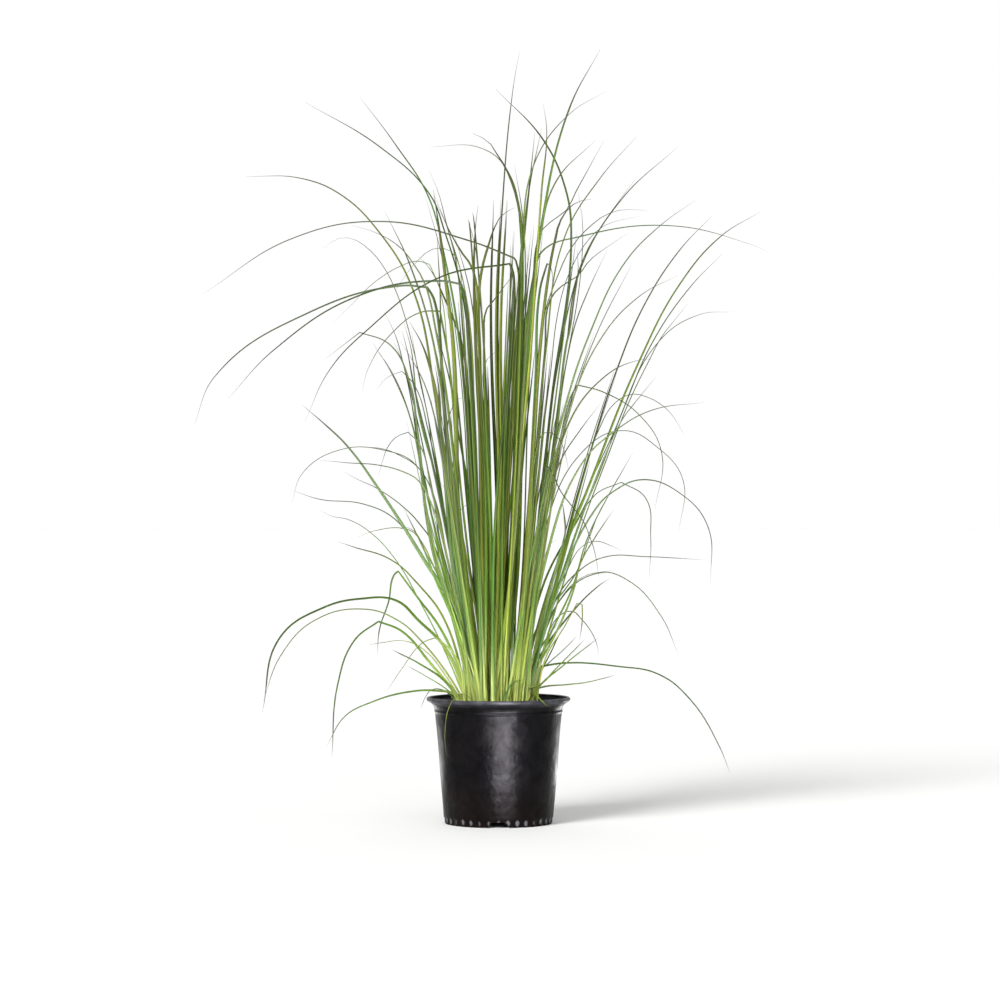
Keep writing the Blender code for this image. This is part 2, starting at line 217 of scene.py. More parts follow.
# Studio. The surround is brighter behind the plant than behind the camera. A light has its name,
# kind, place and aim in metres, size in metres (a sun's in degrees), power in watts (a sun's in watts
# per square metre), and whether it shows in sheen or in matt surfaces.
FLOOR_RADIUS = 40.0
FLOOR_BORDER = 38.0
FRONT_LIGHT = 0.3
BACK_LIGHT = 1.0
LIGHTS = (
    ("key_left", "SUN", (-1.8, -2.6, 2.2), (0.0, 0.0, 0.3), (25.0,), 3.2, "matt"),
    ("fill_right", "SUN", (2.6, -1.0, 1.6), (0.0, 0.0, 0.3), (45.0,), 0.3, "matt"),
    ("fill_front", "SUN", (0.4, -3.0, 0.9), (0.0, 0.0, 0.3), (60.0,), 1.05, "matt"),
    ("strip_above", "AREA", (0.0, -1.6, 1.5), (0.0, 0.0, 0.2), (2.6, 0.8), 300.0, "sheen"),
    ("wide_card_on_floor", "AREA", (0.06, -0.72, 0.003), (0.06, -0.72, 1.0), (0.36, 1.0), 40.0, "sheen"),
    ("slim_card_on_floor", "AREA", (0.12, -0.78, 0.003), (0.12, -0.78, 1.0), (0.22, 1.0), 64.0, "sheen"),
    ("left_card_behind", "AREA", (-0.36, 0.5, 0.003), (-0.36, 0.5, 1.0), (0.35, 0.35), 1.2, "sheen"),
    ("right_card_behind", "AREA", (0.36, 0.5, 0.003), (0.36, 0.5, 1.0), (0.35, 0.35), 2.4, "sheen"),
)

# The leaves that have solids of their own, in their order. Each has its width, its foot as (column,
# row) on the grid, the depth of its tip (+ is to the back), and its route from the soil to the tip:
# (x, z), or (x, z, depth) where the depth is fixed. All in millimetres.
LEAVES = (
    # Low leaves on the left, drooping past the rim.
    (5.5, (-4, -1), -110, (-80, 189), (-114, 227), (-142, 239), (-170, 217), (-190, 165), (-197, 76)),
    (5.0, (-4, 0), -40, (-51, 152), (-74, 157), (-109, 155), (-148, 144), (-182, 126), (-203, 91)),
    (6.0, (-3, 0), -150, (-62, 207), (-94, 240), (-121, 264), (-162, 266), (-205, 256), (-258, 220),
     (-279, 131)),
    (4.0, (-4, 1), 90, (-56, 171), (-94, 219), (-117, 239), (-156, 253), (-217, 240), (-258, 197),
     (-278, 144)),
    (6.0, (-4, -2), -70, (-61, 166), (-92, 188), (-126, 205)),
    (3.2, (-4, 2), 60, (-58, 156), (-90, 176), (-108, 186)),
    (3.2, (-4, -3), -95, (-47, 189), (-61, 209), (-75, 219), (-90, 213), (-114, 183), (-133, 154)),
    (2.4, (-2, -4), -80, (-40, 152, -55), (-49, 149, -73), (-57, 140, -84), (-63, 112, -85), (-61, 70)),
    # Leaves on the left at half height.
    (5.5, (-3, -2), -130, (-51, 248), (-89, 313), (-143, 397), (-180, 447), (-205, 471), (-232, 494)),
    (3.6, (-3, 4), 230, (-62, 320), (-96, 422), (-136, 441), (-188, 441), (-232, 413), (-244, 379)),
    (4.2, (-3, 3), 190, (-56, 250), (-100, 330), (-123, 360), (-159, 377), (-213, 383), (-243, 393)),
    (4.5, (-3, 2), 100, (-63, 240), (-94, 282), (-126, 311), (-173, 327), (-192, 333)),
    (4.2, (-3, -1), -60, (-58, 262), (-76, 302), (-96, 339), (-107, 347), (-148, 345), (-167, 337)),
    (5.5, (-3, 1), 60, (-67, 228), (-96, 268), (-118, 298), (-123, 294), (-130, 262), (-141, 228),
     (-143, 198)),
    # Tall leaves leaning left.
    (5.2, (-3, -3), -160, (-50, 228), (-80, 334), (-96, 464), (-105, 521), (-128, 565), (-164, 580),
     (-205, 548)),
    (4.5, (-2, 1), 70, (-57, 275), (-83, 382), (-102, 474), (-128, 537), (-146, 561)),
    (5.5, (-2, 0), -60, (-57, 393), (-74, 500), (-101, 630), (-140, 697), (-187, 743), (-234, 762),
     (-299, 764)),
    (6.0, (-2, -2), -150, (-49, 311), (-64, 488), (-76, 618), (-84, 633), (-116, 635), (-223, 604),
     (-336, 527), (-360, 469)),
    (4.2, (-2, 2), 160, (-44, 340), (-58, 540), (-69, 605), (-93, 603), (-123, 582), (-154, 537),
     (-161, 509)),
    (5.5, (-2, 3), 130, (-29, 441), (-41, 618), (-63, 698), (-81, 743), (-140, 799), (-229, 852)),
    (6.0, (-1, 0), -40, (-28, 311), (-45, 559), (-64, 671), (-83, 741), (-121, 801), (-164, 858)),
    (6.5, (-2, -3), -200, (-26, 381), (-39, 618), (-44, 637), (-69, 641), (-164, 624), (-266, 559),
     (-320, 501)),
    (4.8, (0, 1), -105, (14, 440), (24, 648), (20, 667), (-34, 688), (-140, 711), (-246, 690), (-348, 626)),
    (5.0, (0, -2), -210, (8, 440), (18, 645), (14, 661), (-69, 645), (-157, 581), (-200, 535), (-229, 474)),
    (4.2, (0, 2), 160, (12, 500), (26, 700), (8, 775), (-22, 798), (-81, 799)),
    # Upright leaves in the middle.
    (6.5, (0, 0), 25, (2, 382), (-1, 594), (5, 736), (17, 866), (25, 913)),
    (7.0, (0, -1), -70, (17, 311), (35, 559), (51, 706), (84, 845), (120, 914)),
    (5.0, (1, -1), -150, (22, 382), (38, 559), (51, 748), (57, 819), (53, 849)),
    (5.2, (2, 0), 60, (33, 240), (63, 500), (86, 700), (79, 750), (53, 807), (-3, 867)),
    (4.8, (1, 0), 120, (20, 441), (28, 683), (43, 781), (84, 838), (126, 864)),
    (5.0, (1, 2), 280, (9, 300), (14, 441), (24, 618), (43, 817)),
    (4.6, (1, 1), 190, (16, 300), (32, 500), (49, 689), (68, 758), (115, 807)),
    (5.0, (2, -2), -130, (41, 382), (56, 559), (79, 695), (120, 762), (164, 812)),
    (5.5, (-1, -2), -300, (-14, 382, -50), (-22, 540, -100), (-30, 655, -165), (-34, 705, -235),
     (-36, 712, -300)),
    (5.5, (-1, 3), 300, (-12, 382, 60), (-16, 540, 110), (-24, 655, 170), (-29, 712, 240), (-31, 722, 300)),
    (5.0, (0, -4), -270, (-6, 300, -60), (-1, 400, -110), (5, 470, -165), (8, 500, -220), (9, 508, -270)),
    (5.0, (0, 4), 285, (-4, 300, 60), (4, 400, 110), (12, 460, 170), (16, 486, 230), (18, 492, 285)),
    # Tall leaves leaning right.
    (5.2, (2, 1), 130, (55, 382), (79, 559), (96, 653), (146, 738), (212, 799)),
    (4.5, (1, 3), 250, (22, 441), (43, 653), (52, 676), (96, 693), (203, 706), (297, 684), (318, 675)),
    (6.5, (4, 0), -55, (53, 252), (112, 413), (166, 546), (214, 637), (262, 693), (309, 722)),
    (5.5, (3, 1), 110, (61, 263), (105, 429), (141, 540), (173, 614), (214, 677), (253, 718)),
    (5.0, (3, 0), 30, (52, 280), (105, 382), (149, 494), (181, 567), (226, 633), (265, 673)),
    (3.8, (3, 2), 200, (66, 300), (135, 460), (191, 571), (238, 601), (277, 604)),
    (5.0, (2, -1), -170, (45, 340), (80, 496), (108, 579), (149, 662), (191, 706), (233, 736)),
    (4.6, (3, -2), -250, (48, 340), (82, 483), (122, 574), (167, 623), (212, 647)),
    (4.2, (3, -4), -280, (48, 300), (80, 465), (125, 527), (166, 547), (184, 548)),
    (4.6, (2, 2), 120, (36, 300), (73, 427), (97, 465), (120, 495)),
    # Leaves on the right at half height.
    (4.2, (4, -2), -185, (66, 264), (114, 370), (136, 392), (172, 406), (216, 389), (247, 352), (251, 282)),
    (4.2, (3, -1), -120, (60, 360), (84, 500), (93, 518), (125, 509), (168, 481), (193, 438), (185, 370)),
    (3.4, (2, 3), 240, (52, 340), (100, 440), (147, 464), (188, 444), (218, 406), (213, 343)),
    (3.6, (4, 2), 170, (60, 250), (112, 386), (145, 403), (174, 384), (180, 338), (178, 288)),
    (4.0, (4, 1), 80, (67, 263), (97, 300), (127, 315), (174, 315), (243, 311)),
    (4.6, (4, -1), -60, (58, 215), (87, 278), (105, 337), (129, 386), (159, 438)),
    (4.6, (3, -3), -205, (58, 320), (100, 427), (137, 463), (181, 488), (243, 497)),
    # Low leaves on the right.
    (4.8, (5, 0), -60, (50, 186), (80, 190), (139, 186), (190, 176), (227, 146), (261, 91), (274, 58)),
    (4.2, (4, -3), -70, (47, 160), (76, 186), (118, 219)),
    (6.0, (3, 4), 110, (49, 198), (84, 246), (119, 281), (132, 289)),
    (3.4, (4, 3), 170, (70, 260), (120, 296), (153, 287), (192, 245), (213, 198)),
)

# The thinner leaves between them, written in the same way.
THIN_LEAVES = (
    (3.0, (1.5, 2.5), 210, (25, 263), (35, 500), (41, 618), (50, 698), (61, 710), (81, 725), (90, 743),
     (108, 776), (125, 807)),
    (3.2, (0.5, 3.5), 240, (18, 263), (24, 500), (28, 665), (31, 706), (38, 760), (45, 793), (51, 821)),
    (3.2, (2.5, 1.5), 90, (37, 263), (55, 441), (73, 559), (88, 630), (102, 671), (120, 703), (144, 737),
     (164, 764)),
    (5.5, (0.5, -1.5), -120, (11, 240), (18, 382), (25, 559), (28, 665), (25, 722), (11, 769), (-1, 789),
     (-12, 805), (-31, 815)),
    (3.0, (0.5, 0.5), 40, (18, 240), (28, 441), (32, 618), (29, 712), (19, 777)),
    (5.4, (2.5, -1.5), -160, (28, 240), (41, 441), (50, 571), (62, 665), (67, 689), (71, 706), (81, 724),
     (94, 734), (110, 737)),
    (4.6, (-1.5, -0.5), -90, (-14, 240), (-19, 441), (-24, 582), (-31, 656), (-42, 672), (-54, 692),
     (-73, 732)),
    (3.0, (-1.5, 1.5), 120, (-22, 240), (-31, 441), (-42, 582), (-50, 663), (-62, 710), (-71, 745),
     (-82, 771)),
    (6.4, (-2.5, -1.5), -110, (-27, 204), (-34, 263), (-43, 311), (-49, 382), (-50, 476), (-54, 571),
     (-61, 630), (-69, 695), (-77, 748)),
    (4.0, (-1.5, 2.5), 190, (-17, 216), (-24, 358), (-34, 476), (-43, 565), (-55, 600), (-67, 627),
     (-75, 645), (-87, 662), (-95, 669)),
    (3.2, (-2.5, 2.5), 170, (-31, 216), (-48, 358), (-60, 464), (-68, 559), (-69, 630), (-71, 665),
     (-73, 698)),
    (4.2, (-0.5, -2.5), -190, (-12, 216), (-19, 405), (-27, 559), (-29, 653), (-27, 706), (-24, 730)),
    (3.4, (-0.5, 1.5), 80, (-8, 216), (-12, 405), (-17, 559), (-24, 653), (-28, 683), (-37, 717)),
    (5.6, (-0.5, -0.5), -60, (-8, 216), (-15, 311), (-21, 452), (-22, 547), (-23, 627), (-19, 657),
     (-12, 682), (-4, 705), (4, 718), (19, 727)),
    (3.6, (0.5, -2.5), -215, (-5, 216), (-10, 358), (-15, 476), (-17, 571), (-14, 607), (-6, 617),
     (10, 638), (22, 653)),
    (2.6, (-0.5, 2.5), 200, (-12, 216), (-15, 382), (-17, 500), (-15, 545), (-8, 553), (-1, 558), (5, 560)),
    (4.4, (1.5, -1.5), -140, (28, 240), (37, 382), (44, 523), (49, 630), (55, 653), (58, 662), (62, 656),
     (64, 639), (60, 618)),
    (2.6, (1.5, -3.5), -250, (23, 193), (30, 263), (38, 358), (45, 441), (53, 460), (58, 462), (69, 457),
     (77, 442), (83, 416)),
    (2.8, (-2.5, 3.5), 220, (-48, 263), (-69, 405), (-87, 500), (-100, 559), (-113, 607), (-122, 631),
     (-133, 653), (-152, 677), (-175, 691), (-191, 690), (-206, 679)),
    (2.6, (-2.5, 0.5), 60, (-31, 263), (-45, 405), (-60, 559), (-69, 630), (-81, 660), (-96, 664),
     (-116, 658), (-140, 644), (-158, 629), (-175, 611), (-196, 591)),
    (2.6, (-1.5, 3.5), 230, (-24, 263), (-36, 500), (-43, 618), (-51, 670), (-63, 679), (-81, 677),
     (-93, 667), (-101, 659), (-116, 638), (-127, 620)),
    (3.6, (-2.5, -2.5), -170, (-40, 263), (-55, 417), (-69, 523), (-79, 577), (-90, 618), (-100, 647),
     (-110, 673), (-122, 698), (-134, 722)),
    (3.4, (-1.5, -3.5), -230, (-34, 252), (-51, 417), (-64, 523), (-74, 582), (-87, 637), (-102, 663),
     (-116, 680), (-146, 698), (-173, 706)),
    (3.8, (-3.5, -1.5), -100, (-36, 204), (-55, 311), (-79, 429), (-99, 512), (-108, 559), (-114, 582)),
    (3.0, (-3.5, 2.5), 150, (-43, 240), (-64, 370), (-83, 464), (-99, 517), (-114, 534), (-132, 526),
     (-144, 512)),
    (3.2, (-3.5, -2.5), -165, (-43, 216), (-60, 311), (-79, 376), (-95, 405), (-112, 415), (-141, 423),
     (-181, 426), (-213, 429)),
    (2.8, (-3.5, 0.5), 40, (-63, 204), (-93, 263), (-121, 311), (-153, 345), (-178, 359), (-198, 363),
     (-211, 370)),
    (3.0, (-3.5, 3.5), 210, (-43, 204), (-60, 275), (-79, 334), (-92, 352), (-105, 367), (-146, 397),
     (-164, 405), (-183, 415)),
    (2.6, (-2.5, -3.5), -200, (-41, 204), (-60, 311), (-79, 393), (-93, 447), (-107, 462), (-121, 456),
     (-131, 444), (-136, 431), (-142, 409)),
    (2.4, (-2.5, 4.5), 215, (-40, 204), (-60, 311), (-79, 393), (-96, 421), (-116, 434), (-136, 442),
     (-158, 444), (-177, 444)),
    (2.2, (-4.5, -0.5), -70, (-63, 175), (-87, 204), (-109, 215), (-139, 213), (-155, 210)),
    (2.4, (-4.5, 0.5), -12, (-68, 158), (-80, 157), (-87, 148), (-92, 135)),
    (3.4, (2.5, 0.5), 70, (23, 216), (35, 382), (47, 523), (55, 606), (63, 630), (69, 645), (84, 677),
     (108, 705), (132, 721), (155, 725), (177, 723)),
    (2.8, (2.5, 2.5), 160, (25, 216), (43, 382), (60, 523), (73, 618), (87, 658), (106, 689), (122, 704),
     (132, 709), (167, 717)),
    (3.0, (1.5, 3.5), 225, (25, 216), (40, 382), (55, 559), (61, 618), (73, 633), (94, 647), (108, 665),
     (132, 683), (153, 697)),
    (3.6, (3.5, -0.5), -80, (31, 204), (49, 334), (68, 464), (83, 559), (92, 594), (102, 620), (114, 647),
     (128, 676)),
    (4.2, (2.5, -2.5), -185, (34, 204), (55, 358), (70, 476), (80, 565), (84, 582), (89, 618), (94, 651),
     (93, 677)),
    (3.0, (3.5, 1.5), 120, (63, 240), (96, 346), (127, 429), (155, 500), (177, 545), (193, 575), (203, 588),
     (224, 614)),
    (2.6, (3.5, -2.5), -200, (37, 216), (47, 311), (53, 393), (57, 422), (62, 417), (73, 393), (88, 373),
     (100, 357), (108, 338), (114, 319), (119, 287)),
    (3.2, (4.5, 0.5), 20, (37, 204), (58, 252), (76, 273), (93, 299), (108, 340), (120, 370), (129, 385)),
    (2.6, (3.5, 2.5), 180, (49, 216), (73, 311), (94, 393), (118, 464), (138, 497), (159, 507), (174, 504),
     (193, 494), (206, 481), (220, 457)),
    (3.2, (3.5, -1.5), -130, (55, 228), (81, 311), (108, 388), (129, 441), (147, 478), (159, 494),
     (172, 510), (186, 527)),
    (2.6, (4.5, 1.5), 110, (43, 193), (58, 240), (81, 299), (100, 328), (116, 333), (132, 328), (147, 321)),
    (2.8, (4.5, -1.5), -115, (43, 175), (62, 213), (76, 242), (88, 273), (97, 307), (112, 334), (125, 354),
     (136, 370)),
    (2.6, (3.5, 3.5), 200, (43, 193), (58, 234), (79, 273), (100, 291), (123, 297), (139, 298)),
    (2.2, (4.5, -2.5), -140, (55, 193), (79, 234), (93, 260), (99, 258), (99, 240), (96, 216)),
    (2.4, (4.5, 2.5), 130, (49, 175), (63, 204), (70, 219), (79, 234), (86, 247)),
    (3.2, (4.6, -0.5), -75, (45, 159), (56, 162), (80, 164), (106, 167), (123, 171), (139, 175)),
    (2.8, (4.5, 0.5), 40, (44, 174), (61, 191), (76, 204), (93, 221)),
    (3.0, (4.5, -3.5), -150, (35, 159), (50, 165), (67, 182), (86, 201), (102, 217)),
    (2.4, (4.4, 1.5), 85, (41, 187), (55, 216), (73, 246), (88, 250), (97, 242), (107, 230), (115, 215),
     (119, 198)),
    (3.0, (0.5, -4.5), -60, (11, 157), (19, 167), (28, 169)),
    (3.2, (-3.3, -2.6), -150, (-43, 216), (-60, 263), (-71, 304), (-80, 346), (-88, 388), (-95, 438),
     (-105, 481), (-116, 510), (-131, 540), (-149, 568)),
    (3.4, (-3.2, 1.4), 110, (-38, 216), (-55, 263), (-67, 305), (-76, 352), (-84, 393), (-95, 447),
     (-103, 500), (-112, 541), (-122, 577), (-135, 604)),
    (3.0, (-2.8, 3.2), 180, (-41, 216), (-49, 252), (-60, 299), (-69, 334), (-76, 382), (-87, 435),
     (-100, 494), (-114, 547), (-125, 571)),
    (3.4, (-2.7, -0.4), -60, (-36, 216), (-43, 252), (-57, 328), (-68, 382), (-76, 417), (-88, 458),
     (-97, 500), (-99, 523), (-103, 559), (-112, 592)),
    (2.6, (-2.4, 2.6), 150, (-36, 204), (-45, 252), (-62, 358), (-74, 419), (-79, 447), (-83, 478),
     (-93, 523), (-99, 556), (-103, 582)),
    (2.6, (-2.2, -3.2), -190, (-34, 204), (-42, 263), (-55, 370), (-66, 435), (-75, 478), (-88, 520),
     (-102, 547), (-116, 569)),
    (6.2, (-2.3, -1.4), -90, (-29, 193), (-38, 252), (-44, 299), (-50, 340), (-54, 382), (-60, 405),
     (-67, 447), (-71, 494), (-80, 535), (-90, 565), (-105, 592)),
    (4.6, (-2.0, 1.2), 90, (-24, 193), (-34, 263), (-42, 323), (-48, 370), (-54, 405), (-58, 441),
     (-66, 500), (-69, 529), (-76, 565), (-84, 594)),
    (5.4, (-2.6, -2.4), -120, (-38, 228), (-47, 269), (-55, 311), (-58, 346), (-61, 382), (-64, 417),
     (-68, 452), (-69, 488), (-71, 517), (-75, 541)),
    (2.8, (-1.6, 2.2), 140, (-22, 216), (-28, 263), (-30, 311), (-32, 358), (-37, 405), (-44, 443),
     (-50, 476), (-57, 520), (-66, 556), (-73, 582)),
    (3.6, (-2.2, 0.4), 20, (-40, 240), (-50, 299), (-55, 358), (-56, 393), (-53, 426), (-49, 452),
     (-48, 476), (-49, 512), (-51, 547), (-57, 588), (-64, 618)),
    (3.4, (-1.8, -0.6), -30, (-25, 240), (-31, 275), (-36, 305), (-41, 334), (-48, 365), (-57, 385),
     (-68, 402)),
    (2.8, (-3.1, -3.4), -130, (-41, 216), (-51, 252), (-61, 275), (-69, 294), (-79, 307), (-86, 319),
     (-92, 334), (-99, 344), (-108, 349), (-120, 346)),
    (4.0, (-2.6, -2.8), -125, (-29, 157), (-41, 204), (-51, 234), (-62, 260), (-73, 284), (-83, 311),
     (-96, 340), (-112, 372)),
)

# Curled, broken and young leaves at the foot of the clump, on the rim and higher up, in the same way.
SHORT_LEAVES = (
    (1.3, (1, -4), -46, (10, 146, -44), (12, 157, -47), (17, 164, -49), (23, 167, -50), (27, 163, -50),
     (25, 157, -49)),
    (1.2, (2, -4), -48, (12, 162, -46), (21, 170, -49), (29, 168, -51), (36, 161, -52), (41, 154, -52)),
    (1.2, (3, -4), -50, (28, 149, -46), (25, 157, -49), (29, 164, -51), (34, 167, -52)),
    (2.8, (4, -4), -84, (42, 152, -52), (49, 146.6, -67), (57, 139, -78), (64, 136.5, -86)),
    (5.5, (4, -1), -60, (52, 230), (70, 310), (79, 345), (78, 360), (75, 383)),
    (2.6, (-3, 1), 20, (-44, 300), (-60, 470), (-56, 487), (-49, 500), (-34, 503)),
    (2.4, (-2, 0), -40, (-36, 250), (-48, 362), (-45, 369), (-34, 379)),
    (3.4, (4, 0), -40, (38, 170), (46, 204), (55, 216), (67, 232), (73, 240)),
    (2.2, (3, 3), 40, (44, 250), (57, 322), (64, 332), (74, 336)),
)

# Leaves with marks of their own: a share of the width (broad), the length of the sheath in metres
# (pale), hue from 0 (brown) over 0.25 (yellow-green) and 0.5 (grass green) to 1 (blue-green), tone,
# which is its lightness, and wear, which is how dull and dark it has become.
MARKS = {
    1: {"hue": 0.5, "wear": 0.8}, 3: {"broad": 1.15, "hue": 0.5, "tone": 0.9},
    8: {"broad": 0.5, "hue": 0.12, "tone": 0.9, "wear": 1.0, "pale": 0.005},
    9: {"broad": 1.3, "hue": 0.65, "tone": 1.1}, 12: {"broad": 1.3, "hue": 0.35, "tone": 0.9},
    14: {"broad": 1.1, "hue": 0.55}, 16: {"hue": 0.6}, 17: {"hue": 0.3, "tone": 1.25, "pale": 0.18},
    18: {"hue": 0.5, "wear": 0.8}, 20: {"hue": 0.85}, 21: {"hue": 0.8},
    22: {"hue": 0.55, "tone": 1.15, "wear": 0.85, "pale": 0.14}, 23: {"hue": 0.45, "wear": 0.95},
    24: {"hue": 0.5, "wear": 0.95}, 26: {"broad": 0.62, "hue": 0.4, "tone": 0.6, "wear": 1.0},
    27: {"hue": 0.6}, 28: {"hue": 0.26, "tone": 1.3, "wear": 0.1}, 33: {"hue": 0.35, "tone": 1.2},
    34: {"broad": 0.75, "hue": 0.3, "tone": 1.2, "wear": 0.65}, 35: {"broad": 0.75},
    36: {"hue": 0.7, "tone": 1.25, "pale": 0.14}, 40: {"hue": 0.4, "tone": 1.25, "wear": 0.4, "pale": 0.2},
    41: {"hue": 0.4},
}


def clamp(value, low=0.0, high=1.0):
    return max(low, min(high, value))


# Materials

# Sockets of a colour mix: its factor, the colours under and over, and the mixed one.
FACTOR, UNDER, OVER, MIXED = 0, 6, 7, 2
COLOURS = {"out": MIXED, "data_type": "RGBA"}
SMOOTH = {"interpolation_type": "SMOOTHSTEP"}


def linear(hex_colour):
    """A colour written as sRGB hex, turned linear."""
    channels = [int(hex_colour[index : index + 2], 16) / 255 for index in (1, 3, 5)]
    turned = [c / 12.92 if c <= 0.04045 else ((c + 0.055) / 1.055) ** 2.4 for c in channels]
    return (*turned, 1.0)


def fill(node, sockets):
    """Fills sockets: from another one by a link, with a hex colour or a number, or Min and Max by a pair."""
    for name, value in sockets.items():
        if isinstance(value, tuple):
            fill(node, {name + " Min": value[0], name + " Max": value[1]})
        elif isinstance(value, bpy.types.NodeSocket):
            node.id_data.links.new(value, node.inputs[name])
        else:
            node.inputs[name].default_value = linear(value) if isinstance(value, str) else value


def add_node(tree, kind, sockets=None, stops=(), out=0, **settings):
    """One node: its settings, its sockets and the stops of its ramp. Returns one of its outputs."""
    made = tree.nodes.new("ShaderNode" + kind)
    for name, value in settings.items():
        setattr(made, name, value)
    fill(made, sockets or {})
    if stops:
        ramp = made.color_ramp
        while len(ramp.elements) < len(stops):
            ramp.elements.new(1.0)
        for element, (place, colour) in zip(ramp.elements, stops):
            element.position = place
            element.color = linear(colour)
    return made.outputs[out]


def new_material(name):
    """A new material, what adds a node to it, and its shader."""
    made = bpy.data.materials.new(name)
    made.use_nodes = True
    return made, partial(add_node, made.node_tree), made.node_tree.nodes["Principled BSDF"]


def grass_leaf():
    """Living leaf of a clump grass: waxy, ribbed lengthwise, pale and soft in the sheath at its foot,
    fresh green above it, weathered to a dull dark green further up, and grey-brown in its dying thread
    of a tip. Ribs are 0.5 mm apart on the real leaf; here they are about 1.2 mm apart, or they wouldn't
    show. Stains of the soil at its foot are 14 mm wide."""
    made, add, shader = new_material("living_grass_leaf")
    run, pale, hue, tone, wear = (
        add("Attribute", out="Fac", attribute_name=name)
        for name in ("run", "pale", "hue", "tone", "wear")
    )
    place = add("UVMap", uv_map="UVMap")
    split = add("SeparateXYZ", {"Vector": place}).node.outputs

    own = add("Math", {0: tone, 1: TONE_STEP}, operation="MULTIPLY")
    along = add("Math", {0: run, 1: SHADES_ALONG}, operation="MULTIPLY")
    across = add("Math", {0: split["Y"], 1: RIBS_ACROSS}, operation="MULTIPLY")
    rib_place = add("CombineXYZ", {"X": along, "Y": across, "Z": own})
    ribs = add("TexNoise", {"Vector": rib_place, "Scale": 1.0, "Detail": 3.0, "Roughness": 0.6})
    patch_along = add("Math", {0: run, 1: PATCHES_ALONG}, operation="MULTIPLY")
    patch_place = add("CombineXYZ", {"X": patch_along, "Y": own})
    patches = add("TexNoise", {"Vector": patch_place, "Scale": 1.0, "Detail": 2.0})

    greens = add(
        "ValToRGB",
        {"Fac": hue},
        ((0.0, "#6A6A24"), (0.25, "#94A23E"), (0.5, "#688E30"), (0.75, "#548038"), (1.0, "#4E7850")),
    )
    sheaths = add("ValToRGB", {"Fac": hue}, ((0.0, "#BEB868"), (0.4, "#C6D274"), (1.0, "#A8C07A")))
    age = add("Math", {0: run, 1: pale}, operation="DIVIDE")
    mottled = add("Math", {0: patches, 1: age}, operation="ADD")
    greened = add("MapRange", {"Value": mottled, "From": (0.5, 1.7)}, **SMOOTH)
    body = add("Mix", {FACTOR: greened, UNDER: sheaths, OVER: greens}, **COLOURS)

    spot = add("TexCoord", out="Object")
    stains = add("TexNoise", {"Vector": spot, "Scale": 70.0, "Detail": 1.0})
    low = add("MapRange", {"Value": run, "From": (0.012, 0.04), "To": (0.62, 0.1)})
    above_stain = add("Math", {0: low, 1: stains}, operation="ADD")
    stained = add("MapRange", {"Value": above_stain, "From": (1.0, 1.25), "To": (0.0, 0.8)}, **SMOOTH)
    footed = add("Mix", {FACTOR: stained, UNDER: body, OVER: "#A5714C"}, **COLOURS)

    shade = add("MapRange", {"Value": ribs, "From": (0.3, 0.7), "To": (0.62, 1.38)})
    # Painted light: each leaf is painted up to 1.36 times lighter up to 0.12 m along it, fading out by 0.5
    # m, standing in for the light that the shade of the dense clump takes from its lower part.
    painted_lift_low = add("MapRange", {"Value": run, "From": (0.12, 0.5), "To": (1.36, 1.0)})
    tone_with_painted_lift = add("Math", {0: painted_lift_low, 1: tone}, operation="MULTIPLY")
    rib_tone_with_painted_lift = add("Math", {0: shade, 1: tone_with_painted_lift}, operation="MULTIPLY")
    ribbed = add("VectorMath", {0: footed, "Scale": rib_tone_with_painted_lift}, operation="SCALE")
    higher = add("MapRange", {"Value": run, "From": (0.05, 0.36), "To": (0.2, 1.0)})
    weathered = add("Math", {0: higher, 1: wear}, operation="MULTIPLY")
    upper = add("Mix", {FACTOR: weathered, UNDER: ribbed, OVER: "#2B3B16"}, **COLOURS)

    from_middle = add("Math", {0: split["Y"], 1: 0.5}, operation="SUBTRACT")
    off_middle = add("Math", {0: from_middle}, operation="ABSOLUTE")
    # Painted highlight: a pale yellow-green line down the middle of each leaf stands in for the light caught
    # in its channel.
    painted_channel_highlight = add("MapRange", {"Value": off_middle, "From": (0.03, 0.12), "To": (0.3, 0.0)}, **SMOOTH)
    with_channel_highlight = add("Mix", {FACTOR: painted_channel_highlight, UNDER: upper, OVER: "#B4C070"}, **COLOURS)
    margin = add("MapRange", {"Value": off_middle, "From": (0.3, 0.47), "To": (0.0, 0.7)}, **SMOOTH)
    dark_margin = add("Math", {0: margin, 1: higher}, operation="MULTIPLY")
    edged = add("Mix", {FACTOR: dark_margin, UNDER: with_channel_highlight, OVER: "#273C0E"}, **COLOURS)
    dying = add("MapRange", {"Value": split["X"], "From": (0.74, 1.0)}, **SMOOTH)
    colour = add("Mix", {FACTOR: dying, UNDER: edged, OVER: "#3A3628"}, **COLOURS)
    bump = add("Bump", {"Height": ribs, "Strength": 0.35, "Distance": 0.0003})
    fill(shader, {"Base Color": colour, "Normal": bump, "Roughness": 0.42, "Specular IOR Level": 0.04})
    return made


